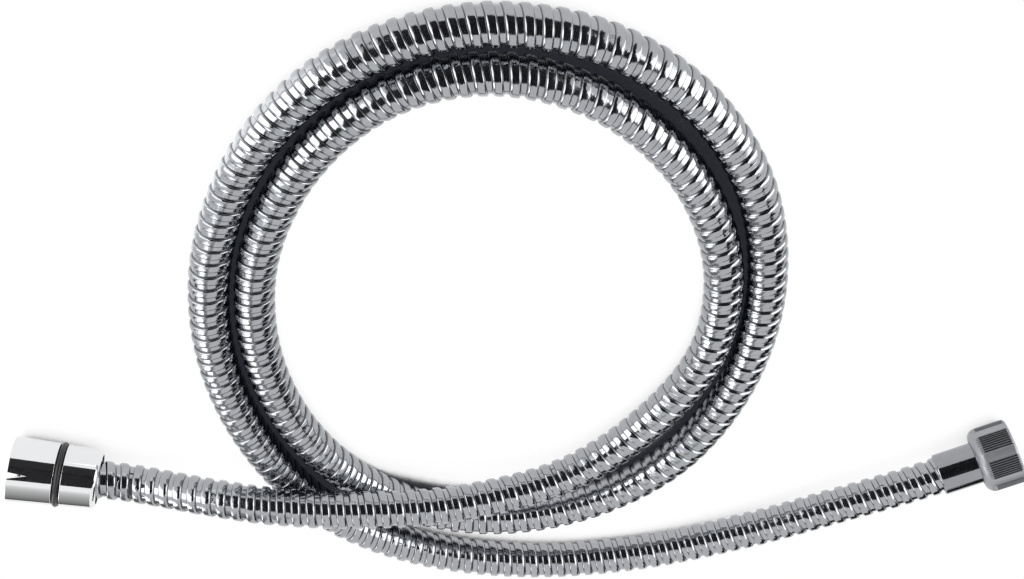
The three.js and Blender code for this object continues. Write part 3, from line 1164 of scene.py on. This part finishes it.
    def dark_screen(self) -> None:
        """A dark screen that only gloss sees: high behind the camera, low at the sides and the far end."""
        corners, faces = list(self.hood), [(0, 1, 2, 3), (3, 2, 4, 5)]
        for wall in self.walls:
            faces.append(tuple(range(len(corners), len(corners) + 4)))
            corners += self.wall(wall)
        shader = Shader("black_cloth")
        shader.put(shader.surface, "Base Color", self.cloth_colour)
        shader.put(shader.surface, "Roughness", self.cloth_roughness)
        self.stand("dark_screen", corners, faces, shader.material, self.unseen_by)

    def graded_screen(self) -> None:
        """A glowing screen at the far end that only gloss sees, a painted reflection: dark at the floor and
        white at its top.
        """
        shader = Shader("graded_glow")
        share = shader.span(shader.part("Z"), 0.0, self.graded_wall[-1], 0.0, 1.0)
        colour = shader.math("POWER", share, self.graded_power)
        shader.show(shader.made("Emission", "Emission", {"Color": colour}))
        corners = self.wall(self.graded_wall)
        self.stand("graded_screen", corners, [(0, 1, 2, 3)], shader.material, self.unseen_by)

    def lights(self) -> None:
        """The soft boxes, turned to the object, each with pi times its brightness from a square metre."""
        for number, (x, y, z, width, height, glow) in enumerate(self.soft_boxes):
            data = bpy.data.lights.new(f"soft_box_{number}", "AREA")
            data.shape = "RECTANGLE"
            data.size, data.size_y = width, height
            data.energy = glow * np.pi * width * height
            made = bpy.data.objects.new(data.name, data)
            made.location = (x, y, z)
            made.rotation_euler = made.location.to_track_quat("Z", "Y").to_euler()
            bpy.context.scene.collection.objects.link(made)

    def build(self) -> None:
        """Makes the whole studio, but for the camera."""
        bpy.context.scene.view_settings.view_transform = "Standard"
        for make in (self.floor, self.world, self.dark_screen, self.graded_screen, self.lights):
            make()


def main() -> None:
    """Builds and dresses every piece in order, and reports each."""
    logging.basicConfig(level=logging.INFO, format="%(message)s")
    studio = Studio()
    studio.camera()
    cone = FittingPlace(x=-176.7, y=-2.2, height=11.9, heading=168.5)
    tap = FittingPlace(x=177.0, y=1.5, height=12.3, heading=26.5)
    conduit = Conduit(HoseRoute(cone, tap))
    hose = Piece(conduit.build(), conduit.finish, Body.HOSE, "hose_conduit").settle()
    tap_end = EndPieces(tap, "tap_end", Body.TAP, DrawnSteel(), ferrule_length=18.0).pieces()
    tap_end.append(KnurledNut(tap).shell().settle())
    path = conduit.route.line()[::CORD_STEP] * MM
    conduit.length() * MM
    EndPieces(cone, "cone_end", Body.CONE, DrawnSteel(slot=Slot.STEEL), ferrule_length=14.0).pieces()
    ConeNut(cone).pieces()
    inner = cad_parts["inner_tube"]
    rubber = MouldedRubber(name="extruded_rubber", slot=Slot.INNER).material()
    inner.data.materials.clear()
    inner.data.materials.append(rubber)
    LOG.info("inner_tube: dressed in %s", rubber.name)
    studio.build()


if __name__ == "__main__":
    main()
